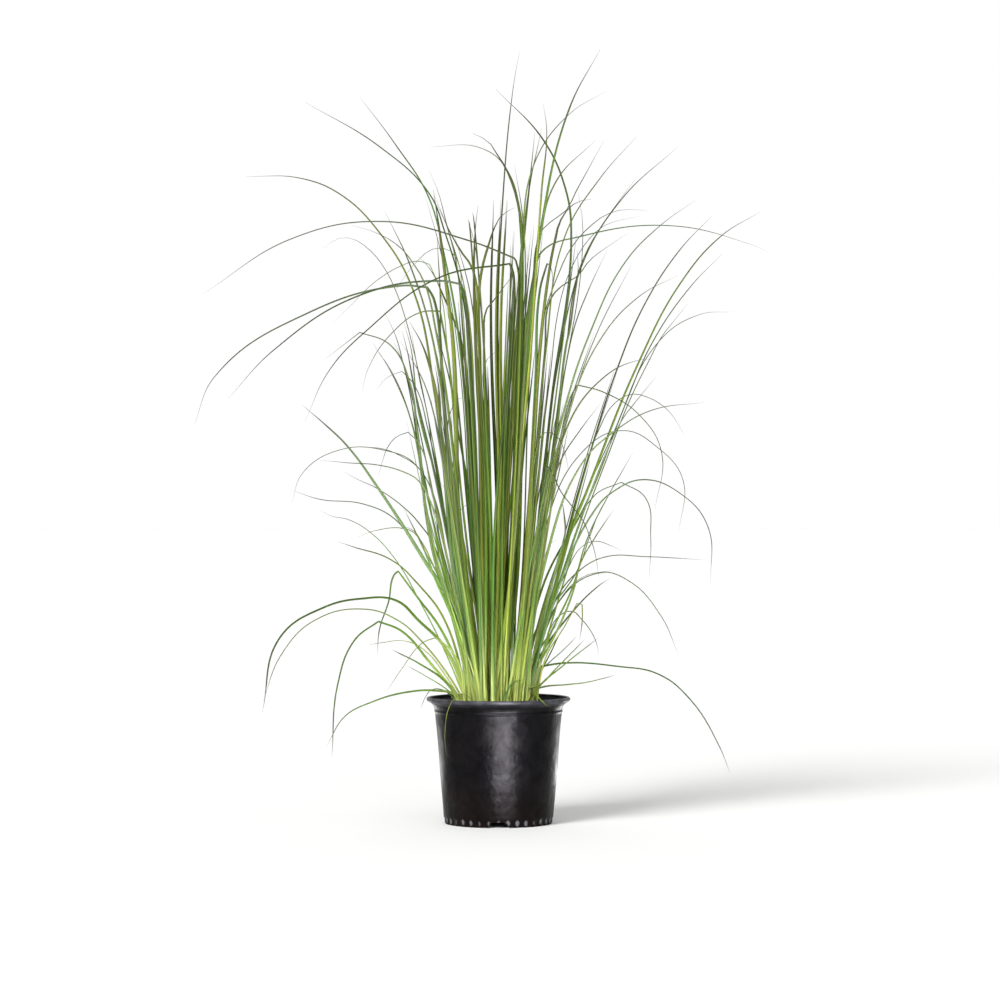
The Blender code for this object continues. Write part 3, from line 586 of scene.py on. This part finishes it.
def moulded_polyethylene():
    """Black high-density polyethylene, blow-moulded: semi-gloss, with shallow dents 11 mm wide, an
    orange peel of 2.4 mm, handling haze in patches of 26 mm and smears of 17 mm, dust low on the wall,
    a lip greyed by wear and by a painted sheen, and pale patches on the crests of the scalloped heel,
    which are 11 mm apart: scuffs and painted highlights."""
    made, add, shader = new_material("blow_moulded_black_polyethylene")
    place = add("TexCoord", out="Object")
    split = add("SeparateXYZ", {"Vector": place}).node.outputs
    haze = add("TexNoise", {"Vector": place, "Scale": 38.0, "Detail": 4.0, "Roughness": 0.6})
    peel = add("TexNoise", {"Vector": place, "Scale": 420.0, "Detail": 1.0})
    dents = add("TexNoise", {"Vector": place, "Scale": 90.0, "Detail": 2.0})
    smears = add("TexNoise", {"Vector": place, "Scale": 60.0, "Detail": 3.0, "Distortion": 0.6})

    # Pale patches on the crests of the heel's flutes: scuffs, and painted highlights of the light on the
    # crests.
    turn = add("Math", {0: split["Y"], 1: split["X"]}, operation="ARCTAN2")
    turns = add("Math", {0: turn, 1: FLUTE_COUNT}, operation="MULTIPLY")
    crest = add("Math", {0: turns}, operation="COSINE")
    off_middle = add(
        "MapRange", {"Value": split["Z"], "From": (0.0, 0.0104), "To": (-1.25, 1.25)}, clamp=False
    )
    off_square = add("Math", {0: off_middle, 1: off_middle}, operation="MULTIPLY")
    spot = add("Math", {0: crest, 1: off_square}, operation="SUBTRACT")
    haze_spread = add("MapRange", {"Value": haze, "From": (0.3, 0.7), "To": (-0.6, 0.6)})
    uneven = add("Math", {0: haze_spread, 1: dents}, operation="ADD")
    crest_marks = add("Math", {0: spot, 1: uneven}, operation="ADD")
    scuffs_and_painted_highlights = add("MapRange", {"Value": crest_marks, "From": (0.55, 1.75)}, **SMOOTH)

    roughness = add("MapRange", {"Value": haze, "From": (0.3, 0.7), "To": (0.27, 0.42)})
    gloss = add("MapRange", {"Value": smears, "From": (0.35, 0.65), "To": (0.045, 0.08)})
    black = add("ValToRGB", {"Fac": haze}, ((0.3, "#060608"), (0.75, "#0C0A0A")))
    splashed = add("MapRange", {"Value": split["Z"], "From": (0.005, 0.06), "To": (0.34, 0.0)})
    dust = add("Math", {0: splashed, 1: smears}, operation="MULTIPLY")
    dusty = add("Mix", {FACTOR: dust, UNDER: black, OVER: "#2A1C12"}, **COLOURS)
    # The lip is greyed in patches: handling wear, and a painted sheen of the light on the rolled lip.
    rim = add("MapRange", {"Value": split["Z"], "From": (0.14, 0.1445), "To": (0.0, 1.6)})
    lip_wear_and_painted_sheen = add("Math", {0: rim, 1: smears}, operation="MULTIPLY")
    greyed = add("Mix", {FACTOR: lip_wear_and_painted_sheen, UNDER: dusty, OVER: "#4A4A50"}, **COLOURS)
    colour = add("Mix", {FACTOR: scuffs_and_painted_highlights, UNDER: greyed, OVER: "#6E6E74"}, **COLOURS)
    fine = add("Bump", {"Height": peel, "Strength": 0.12, "Distance": 0.0004})
    bump = add("Bump", {"Height": dents, "Normal": fine, "Strength": 0.5, "Distance": 0.0015})
    fill(shader, {"Base Color": colour, "Normal": bump, "Roughness": roughness})
    fill(shader, {"Specular IOR Level": gloss, "Specular Tint": "#FAF4FF"})
    return made


def bark_mix(name, dark, light):
    """Composted pine bark and peat, as mixed: matt, dark and fibrous, in grains of 1 to 6 mm."""
    made, add, shader = new_material(name)
    place = add("TexCoord", out="Object")
    grain = add("TexNoise", {"Vector": place, "Scale": 260.0, "Detail": 5.0, "Roughness": 0.7})
    clumps = add("TexVoronoi", {"Vector": place, "Scale": 170.0}, out="Distance")
    mixed = add("Math", {0: grain, 1: clumps}, operation="MULTIPLY")
    colour = add("ValToRGB", {"Fac": mixed}, ((0.05, dark), (0.4, light)))
    bump = add("Bump", {"Height": grain, "Strength": 0.6, "Distance": 0.0008})
    fill(shader, {"Base Color": colour, "Normal": bump, "Roughness": 0.92, "Specular IOR Level": 0.02})
    return made


# Modelling


def deselect():
    for thing in bpy.context.view_layer.objects:
        thing.select_set(False)


def choose(*things):
    """Selects these objects alone, and makes the first one active."""
    deselect()
    for thing in things:
        thing.select_set(True)
    bpy.context.view_layer.objects.active = things[0]


def begun(primitive, **settings):
    """A new primitive, selected alone, with its place in its mesh, and left in edit mode."""
    deselect()
    primitive(**settings)
    bpy.ops.object.transform_apply(location=True)
    bpy.ops.object.mode_set(mode="EDIT")
    return bpy.context.object


def pick(thing, test, kind="VERT"):
    """In edit mode, selects the vertices, or the faces by their middle and normal, that pass a test."""
    bpy.ops.mesh.select_mode(type=kind)
    bpy.ops.mesh.select_all(action="DESELECT")
    shape = bmesh.from_edit_mesh(thing.data)
    if kind == "VERT":
        for vertex in shape.verts:
            vertex.select_set(test(vertex.co))
    else:
        for face in shape.faces:
            face.select_set(test(face.calc_center_median(), face.normal))
    shape.select_flush_mode()
    bmesh.update_edit_mesh(thing.data)


def pick_all():
    bpy.ops.mesh.select_all(action="SELECT")


def looks_up(middle, normal):
    return normal.z > 0.5


def stretch(x, y, z, middle=(0.0, 0.0, 0.0)):
    """In edit mode, scales what is selected about a place."""
    bpy.ops.transform.resize(value=(x, y, z), center_override=middle)


def heave(thing, group, name, size, height, direction, depth=2):
    """Moves the vertices of a group by a cloudy noise, whose size and height are in millimetres."""
    clouds = bpy.data.textures.new(name, "CLOUDS")
    clouds.noise_scale = size * MM
    clouds.noise_depth = depth
    push = thing.modifiers.new(name, "DISPLACE")
    push.texture = clouds
    push.texture_coords = "LOCAL"
    push.direction = direction
    push.strength = height * MM
    push.mid_level = 0.5
    push.vertex_group = group


def apply_all(thing):
    choose(thing)
    for modifier in list(thing.modifiers):
        bpy.ops.object.modifier_apply(modifier=modifier.name)


def finished(thing, name, material, slot, *replaced):
    """Names a finished piece, gives it its material, hangs it on the root body, and hides the parts that it
    replaces.
    """
    thing.name = name
    thing.data.name = name
    thing.data.materials.clear()
    thing.data.materials.append(material)
    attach(thing, "root")
    if replaced:
        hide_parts(*replaced)


def joined(pieces):
    choose(*pieces)
    bpy.ops.object.join()
    return pieces[0]


def copy_of(pattern, name):
    made = pattern.copy()
    made.data = pattern.data.copy()
    made.name = name
    bpy.context.scene.collection.objects.link(made)
    return made


# Pot


def build_pot(material):
    """A profile of single vertices is extruded point by point, spun, and given its wall."""
    wall = [
        tuple(neck + (foot - neck) * step / WALL_RINGS for neck, foot in zip(POT_OUTLINE[-1], WALL_FOOT))
        for step in range(1, WALL_RINGS + 1)
    ]
    outline = [Vector((r * MM, 0.0, z * MM)) for r, z in (*POT_OUTLINE, *wall, *HEEL_OUTLINE)]
    pot = begun(bpy.ops.mesh.primitive_plane_add, size=MM, location=outline[0])
    bpy.ops.mesh.merge(type="CENTER")
    for start, end in zip(outline, outline[1:]):
        bpy.ops.mesh.extrude_region_move(TRANSFORM_OT_translate={"value": end - start})
    pick_all()
    bpy.ops.mesh.spin(steps=POT_STEPS, angle=2 * math.pi, center=(0, 0, 0), axis=(0, 0, 1))
    pick_all()
    bpy.ops.mesh.remove_doubles(threshold=0.01 * MM)
    bpy.ops.mesh.normals_make_consistent(inside=False)
    press_flutes(pot)
    bpy.ops.object.mode_set(mode="OBJECT")

    group = pot.vertex_groups.new(name="wall")
    for vertex in pot.data.vertices:
        height = vertex.co.z / MM
        fade = clamp(min(WAVE_HIGH - height, height - WAVE_LOW) / WAVE_FADE)
        outside = vertex.co.xy.length / MM > SHELL_INSIDE
        group.add([vertex.index], fade if outside else 0.0, "REPLACE")
    heave(pot, "wall", "waves", WAVE_SIZE, WAVE_HEIGHT, "NORMAL", depth=1)
    sheet = pot.modifiers.new("sheet", "SOLIDIFY")
    sheet.thickness = POT_SHEET * MM
    sheet.offset = -1.0
    sheet.use_even_offset = True
    cutter = notch_cutter()
    cut = pot.modifiers.new("notches", "BOOLEAN")
    cut.operation = "DIFFERENCE"
    cut.object = cutter
    cut.solver = "EXACT"
    apply_all(pot)
    bpy.data.objects.remove(cutter)
    bpy.ops.object.shade_smooth_by_angle(angle=POT_SMOOTHING)
    finished(pot, "nursery_pot", material, "nursery_plastic", "pot")


def press_flutes(pot):
    """Upright dents round the heel, each as wide as four columns of the spin."""
    column = 2 * math.pi / POT_STEPS
    for offset, depth in FLUTE_COLUMNS:
        for low, high, share in FLUTE_LEVELS:

            def in_dent(place):
                index = round(math.atan2(place.y, place.x) / column) % (POT_STEPS // FLUTE_COUNT)
                heel = low * MM <= place.z < high * MM and place.xy.length > SHELL_INSIDE * MM
                return heel and index == offset

            pick(pot, in_dent)
            scale = 1.0 - FLUTE_DEPTH * depth * share / HEEL_OUTLINE[0][0]
            stretch(scale, scale, 1.0)


def notch_cutter():
    """Trapezoid prisms along the radius, joined: one for each drain notch."""
    inner, outer = NOTCH_REACH
    base_width = NOTCH_TOP_WIDTH + 2.0 * (NOTCH_FOOT_WIDTH - NOTCH_TOP_WIDTH)
    prisms = []
    for index in range(NOTCH_COUNT):
        prism = begun(bpy.ops.mesh.primitive_cube_add, size=1.0)
        stretch(base_width * MM, (outer - inner) * MM, 2.0 * NOTCH_HEIGHT * MM)
        bpy.ops.transform.translate(value=(0.0, -(outer + inner) / 2 * MM, 0.0))
        pick(prism, looks_up, "FACE")
        stretch(NOTCH_TOP_WIDTH / base_width, 1.0, 1.0)
        pick_all()
        turn = 2 * math.pi * index / NOTCH_COUNT
        bpy.ops.transform.rotate(value=turn, orient_axis="Z", center_override=(0.0, 0.0, 0.0))
        bpy.ops.object.mode_set(mode="OBJECT")
        prisms.append(prism)
    return joined(prisms)


# Potting mix


def build_soil(material):
    """The root ball, its top filled with an even grid and heaved by two sizes of noise."""
    middle = (SOIL_TOP + SOIL_FLOOR) / 2 * MM
    height = (SOIL_TOP - SOIL_FLOOR) * MM
    soil = begun(
        bpy.ops.mesh.primitive_cylinder_add,
        vertices=SOIL_SIDES,
        radius=SOIL_RADIUS * MM,
        depth=height,
        location=(0, 0, middle),
    )
    pick(soil, lambda place: place.z < middle)
    narrow = SOIL_FOOT_RADIUS / SOIL_RADIUS
    stretch(narrow, narrow, 1.0)
    pick(soil, looks_up, "FACE")
    bpy.ops.mesh.delete(type="ONLY_FACE")
    pick(soil, lambda place: place.z > middle)
    bpy.ops.mesh.fill_grid(span=SOIL_SIDES // 4)
    pick(soil, looks_up, "FACE")
    bpy.ops.mesh.subdivide(number_cuts=2)
    pick_all()
    bpy.ops.mesh.normals_make_consistent(inside=False)
    bpy.ops.object.mode_set(mode="OBJECT")
    group = soil.vertex_groups.new(name="top")
    for vertex in soil.data.vertices:
        if vertex.co.z > middle:
            edge = (SOIL_RADIUS * MM - vertex.co.xy.length) / (SOIL_EDGE * MM)
            group.add([vertex.index], clamp(edge), "REPLACE")
    for name, size, high in SOIL_NOISES:
        heave(soil, "top", name, size, high, "Z")
    apply_all(soil)
    bpy.ops.object.shade_smooth_by_angle(angle=SOIL_SMOOTHING)
    finished(soil, "root_ball", material, "potting_mix", "soil")


def build_chips(material):
    """Bark chips: one crumpled flake, copied all over the mix."""
    dice = random.Random(CHIP_SEED)
    flake = begun(bpy.ops.mesh.primitive_cube_add, size=1.0)
    stretch(*CHIP_SHAPE)
    pick_all()
    bpy.ops.mesh.bevel(offset=CHIP_BEVEL, segments=1)
    pick_all()
    bpy.ops.transform.vertex_random(offset=CHIP_CRUMPLE, seed=FLAKE_SEED)
    bpy.ops.object.mode_set(mode="OBJECT")
    chips = []
    for _ in range(CHIP_COUNT):
        chip = copy_of(flake, "chip")
        radius = (SOIL_RADIUS - CHIP_RIM) * math.sqrt(dice.random())
        turn = dice.uniform(0, 2 * math.pi)
        size = dice.uniform(*SMALL_CHIPS) if dice.random() < SMALL_SHARE else dice.uniform(*LARGE_CHIPS)
        tilts = [dice.uniform(-CHIP_TILT, CHIP_TILT) for _ in range(2)]
        lie = Euler((*tilts, dice.uniform(0, CHIP_TURN)))
        height = SOIL_TOP + dice.uniform(*CHIP_HEIGHTS)
        spot = Vector((radius * math.cos(turn), radius * math.sin(turn), height)) * MM
        chip.data.transform(Matrix.LocRotScale(spot, lie, Vector((size * MM,) * 3)))
        chips.append(chip)
    bpy.data.objects.remove(flake)
    finished(joined(chips), "bark_chips", material, "potting_mix")


# Leaves


def blade_width(share, flare):
    """Width along a leaf, over its nominal width: sheath, even blade, long taper, thread of a tip."""
    sheath = flare * max(0.0, 1.0 - share / SHEATH_SHARE)
    fade = max(0.0, (share - TAPER_START) / (1.0 - TAPER_START))
    point = clamp((1.0 - share) / TIP_SHARE)
    return (BLADE_WIDTH + sheath - TAPER * fade**TAPER_POWER) * (TIP_WIDTH + (1.0 - TIP_WIDTH) * point)


def blade_fold(share):
    """How deep the keel is, over half the leaf's width: closed in the sheath, open in the blade."""
    return SHEATH_FOLD - OPENING * clamp((share - OPENING_START) / OPENING_RUN)


def blade_pattern(name, rows, columns, flare):
    """A unit blade along +X, folded along its middle, with its keel to +Z and a wall of its own."""
    blade = begun(bpy.ops.mesh.primitive_grid_add, x_subdivisions=rows, y_subdivisions=columns, size=1.0)
    blade.name = name
    bpy.ops.transform.translate(value=(0.5, 0.0, 0.0))
    for column in range(columns + 1):
        side = column / columns - 0.5
        pick(blade, lambda place: abs(place.y - side) < 0.1 / columns)
        keel = 0.5 - abs(side) ** KEEL_POWER * 2 ** (KEEL_POWER - 1.0)
        bpy.ops.transform.translate(value=(0.0, 0.0, keel))
    bpy.ops.object.mode_set(mode="OBJECT")
    wall = blade.modifiers.new("wall", "SOLIDIFY")
    wall.thickness = BLADE_WALL
    wall.offset = 0.0
    apply_all(blade)
    bpy.ops.object.mode_set(mode="EDIT")
    for row in range(rows + 1):
        share = row / rows
        pick(blade, lambda place: abs(place.x - share) < 0.3 / rows)
        width = blade_width(share, flare)
        fold = blade_fold(share)
        spread = width * math.sqrt(1.0 - FOLD_NARROWING * fold**2)
        stretch(1.0, spread, width * fold, (share, 0.0, 0.0))
    bpy.ops.object.mode_set(mode="OBJECT")
    bpy.ops.object.shade_smooth_by_angle(angle=BLADE_SMOOTHING)
    return blade


def foot_of(cell):
    """Where a leaf stands: odd rows of the grid are set over by half a pitch."""
    column, row = cell
    x = CLUMP_X + FOOT_PITCH * (column + 0.5 * (row % 2))
    y = FOOT_PITCH * math.sqrt(0.75) * row
    return x, y


def along_sight(x, z, depth):
    """A place seen at (x, z) from the front, moved along the line of sight to its depth."""
    scale = 1.0 + depth / EYE_DISTANCE
    return Vector((EYE_X + (x - EYE_X) * scale, depth, EYE_HEIGHT + (z - EYE_HEIGHT) * scale))


def leaf_route(cell, depth, route):
    """Points from the foot to the tip, in millimetres, with the depth growing along the leaf."""
    x, y = foot_of(cell)
    seen = [(x, SOIL_TOP)] + [place[:2] for place in route]
    steps = [math.dist(a, b) for a, b in zip(seen, seen[1:])]
    length = sum(steps)
    points = [Vector((x, y, SOIL_TOP - FOOT_DEPTH)), Vector((x, y, SOIL_TOP + FOOT_CLEAR))]
    gone = 0.0
    for step, (side, height, *fixed) in zip(steps, route):
        gone += step
        share = (gone / length) ** DEPTH_POWER
        points.append(along_sight(side, height, fixed[0] if fixed else y + (depth - y) * share))
    return points


def new_guide():
    """The curve that every leaf is bent along in its turn."""
    deselect()
    bpy.ops.curve.primitive_bezier_curve_add()
    guide = bpy.context.object
    guide.name = "leaf_guide"
    guide.data.twist_mode = "MINIMUM"
    guide.data.resolution_u = GUIDE_STEPS
    guide.data.use_stretch = True
    guide.data.use_deform_bounds = True
    guide.data.use_radius = True
    return guide


def lay_guide(guide, points, width, turn, rest):
    """Puts the guide's points along a leaf, which is turned at its foot and unwinds towards its tip."""
    lean = points[-1] - points[0]
    tilt = math.atan2(lean.y, lean.x) + math.pi / 2 + rest
    guide.data.splines.clear()
    spline = guide.data.splines.new("BEZIER")
    spline.bezier_points.add(len(points) - 1)
    for index, (bezier, point) in enumerate(zip(spline.bezier_points, points)):
        bezier.co = point * MM
        kind = "VECTOR" if index < 2 or is_kink(points, index) else "AUTO"
        bezier.handle_left_type = kind
        bezier.handle_right_type = kind
        bezier.radius = width * MM
        bezier.tilt = tilt + (turn - rest) * (1.0 - index / (len(points) - 1)) ** UNWINDING


def is_kink(points, index):
    """Whether a leaf is broken at a point of its route, not bent."""
    if not 0 < index < len(points) - 1:
        return False
    return (points[index] - points[index - 1]).angle(points[index + 1] - points[index]) > KINK_ANGLE


def bent_leaf(pattern, guide, points, width, turn, rest, tints):
    """A copy of the unit blade, bent along its guide, with what its material reads."""
    lay_guide(guide, points, width, turn, rest)
    leaf = copy_of(pattern, "leaf")
    shares = [vertex.co.x for vertex in leaf.data.vertices]
    bend = leaf.modifiers.new("bend", "CURVE")
    bend.object = guide
    bend.deform_axis = "POS_X"
    apply_all(leaf)
    length = sum((b - a).length for a, b in zip(points, points[1:])) * MM
    runs = [share * length for share in shares]
    marks = {"run": runs, **{key: [value] * len(shares) for key, value in tints.items()}}
    for name, values in marks.items():
        leaf.data.attributes.new(name, "FLOAT", "POINT").data.foreach_set("value", values)
    return leaf


def tints_of(dice, foot, length):
    """How long the pale sheath is, and the leaf's own green: inner leaves are yellower and pale higher up,
    and their tone is painted lighter against the shade in the middle of the clump.
    """
    reach = math.hypot(foot[0] - CLUMP_X, foot[1])
    pale = (SHEATH_LENGTH - SHEATH_LOSS * reach) * dice.uniform(*SHEATH_SPREAD)
    inner = max(0.0, 1.0 - reach / INNER_RADIUS)
    yellowed = dice.random() < YELLOW_ODDS and inner > YELLOW_INNER
    hue = YELLOW_HUE if yellowed else clamp(dice.gauss(HUE - HUE_INNER * inner, HUE_SPREAD), *HUES)
    # The tone of inner leaves is painted lighter, a painted lift against the shade in the middle of the
    # clump.
    tone = dice.uniform(*TONES) * (1.0 + INNER_PAINTED_LIFT * inner)
    return {
        "pale": clamp(pale, SHEATH_LEAST, SHEATH_MOST * length) * MM,
        "hue": hue,
        "tone": tone * YELLOW_TONE if yellowed else tone,
        "wear": dice.uniform(*WEARS) * (1.0 - WEAR_INNER * inner),
    }


def facing(dice, points):
    """The turn at a leaf's foot, where its keel looks out of the clump whichever way the leaf leans."""
    lean = points[-1] - points[0]
    outward = math.atan2(points[0].y - FACING_POINT, points[0].x - CLUMP_X)
    outward += dice.gauss(0.0, FACING_SPREAD)
    return (outward - math.atan2(lean.y, lean.x) + math.pi / 2) % math.pi - math.pi / 2


def grown(dice, blades, guide, width, cell, depth, route, marks=None):
    """One leaf of a row of the tables: of the fine blade where it is broken, or else of the plain one."""
    plain, fine = blades
    points = leaf_route(cell, depth, route)
    pattern = fine if any(is_kink(points, index) for index in range(len(points))) else plain
    length = sum((b - a).length for a, b in zip(points, points[1:]))
    tints = {**tints_of(dice, foot_of(cell), length), **(marks or {})}
    turn = facing(dice, points)
    return bent_leaf(pattern, guide, points, width, turn, dice.uniform(-TIP_TURN, TIP_TURN), tints)


def lane_mate(dice, blades, guide, number):
    """A leaf that runs much like another one as seen from the front, at its own depth and length."""
    width, (column, row), _, *route = LEAVES[number - 1]
    sway = dice.uniform(-LANE_SWAY, LANE_SWAY)
    splay = dice.gauss(0.0, LANE_SPLAY)
    keep = SOIL_TOP + dice.uniform(*LANE_KEPT) * (max(place[1] for place in route) - SOIL_TOP)
    seen = [(x + sway + splay * (z - SOIL_TOP), z) for x, z, *_ in route]
    rising = next((index for index, (_, z) in enumerate(seen) if z > keep), len(seen))
    seen = seen[: max(2, rising)]
    column += dice.uniform(-LANE_COLUMNS, LANE_COLUMNS)
    row = clamp(row + dice.uniform(-LANE_ROWS, LANE_ROWS), -LAST_ROW, LAST_ROW)
    depth = clamp(row * ROW_LEAN + dice.uniform(-LANE_DEPTH, LANE_DEPTH), -LAST_DEPTH, LAST_DEPTH)
    return grown(dice, blades, guide, width * dice.uniform(*LANE_WIDTHS), (column, row), depth, seen)


def build_leaves(material):
    dice = random.Random(LEAF_SEED)
    guide = new_guide()
    made = {name: blade_pattern(name, *sizes) for name, sizes in BLADES.items()}
    for index, (width, cell, depth, *route) in enumerate(LEAVES, 1):
        blades = (made["sheathed" if cell[1] <= FRONT_ROW else "broad"], made["kinked"])
        marks = dict(MARKS.get(index, {}))
        width *= marks.pop("broad", 1.0)
        leaf = grown(dice, blades, guide, width, cell, depth, route, marks)
        finished(leaf, f"grass_leaf_{index:02d}", material, "grass_leaf", f"leaf_{index:02d}")

    blades = (made["slim"], made["kinked_slim"])
    for name, rows, share in (("thin", THIN_LEAVES, THIN_SHARE), ("short", SHORT_LEAVES, 1.0)):
        leaves = [
            grown(dice, blades, guide, width * share, cell, depth, route)
            for width, cell, depth, *route in rows
        ]
        finished(joined(leaves), name + "_leaves", material, "grass_leaf")
    blades = (made["inner"], made["kinked_slim"])
    inner = [lane_mate(dice, blades, guide, number) for number in LANES for _ in range(LANE_MATES)]
    finished(joined(inner), "inner_leaves", material, "grass_leaf")
    for helper in (*made.values(), guide):
        bpy.data.objects.remove(helper)


# Studio


def build_stage():
    """A plain pale floor, a plain pale surround that is brighter behind, and soft lights."""
    floor = begun(bpy.ops.mesh.primitive_circle_add, vertices=96, radius=FLOOR_RADIUS, fill_type="NGON")
    bpy.ops.mesh.inset(thickness=FLOOR_BORDER)
    bpy.ops.object.mode_set(mode="OBJECT")
    floor.name = "floor"
    made, _, shader = new_material("matt_white_paper_roll")
    fill(shader, {"Base Color": "#FAFAF9", "Roughness": 0.9, "Specular IOR Level": 0.1})
    floor.data.materials.append(made)

    world = bpy.data.worlds.new("studio")
    world.use_nodes = True
    bpy.context.scene.world = world
    add = partial(add_node, world.node_tree)
    direction = add("TexCoord", out="Generated")
    towards = add("SeparateXYZ", {"Vector": direction}, out="Y")
    strength = add(
        "MapRange", {"Value": towards, "From": (0.25, 0.75), "To": (FRONT_LIGHT, BACK_LIGHT)}, **SMOOTH
    )
    fill(world.node_tree.nodes["Background"], {"Strength": strength, "Color": "#FFFFFF"})

    for name, kind, place, aim, size, power, lit in LIGHTS:
        data = bpy.data.lights.new(name, kind)
        data.energy = power
        if kind == "SUN":
            data.angle = math.radians(size[0])
        else:
            data.shape = "ELLIPSE"
            data.size, data.size_y = size
        lamp = bpy.data.objects.new(name, data)
        lamp.location = place
        lamp.rotation_euler = (Vector(aim) - Vector(place)).to_track_quat("-Z", "Y").to_euler()
        lamp.visible_camera = False
        lamp.visible_diffuse = lit != "sheen"
        lamp.visible_glossy = lit != "matt"
        bpy.context.scene.collection.objects.link(lamp)

    lens = bpy.data.cameras.new("camera")
    lens.lens = LENS_MM
    lens.sensor_width = SENSOR_MM
    camera = bpy.data.objects.new("camera", lens)
    camera.location = (EYE_X * MM, -EYE_DISTANCE * MM, EYE_HEIGHT * MM)
    camera.rotation_euler = (math.pi / 2, 0.0, 0.0)
    bpy.context.scene.collection.objects.link(camera)
    bpy.context.scene.camera = camera
    bpy.context.scene.view_settings.view_transform = "Standard"


build_stage()
build_pot(moulded_polyethylene())
build_soil(bark_mix("composted_bark_mix", "#15100B", "#4A3524"))
build_chips(bark_mix("pine_bark_chip", "#1E140D", "#6A4A30"))
build_leaves(grass_leaf())
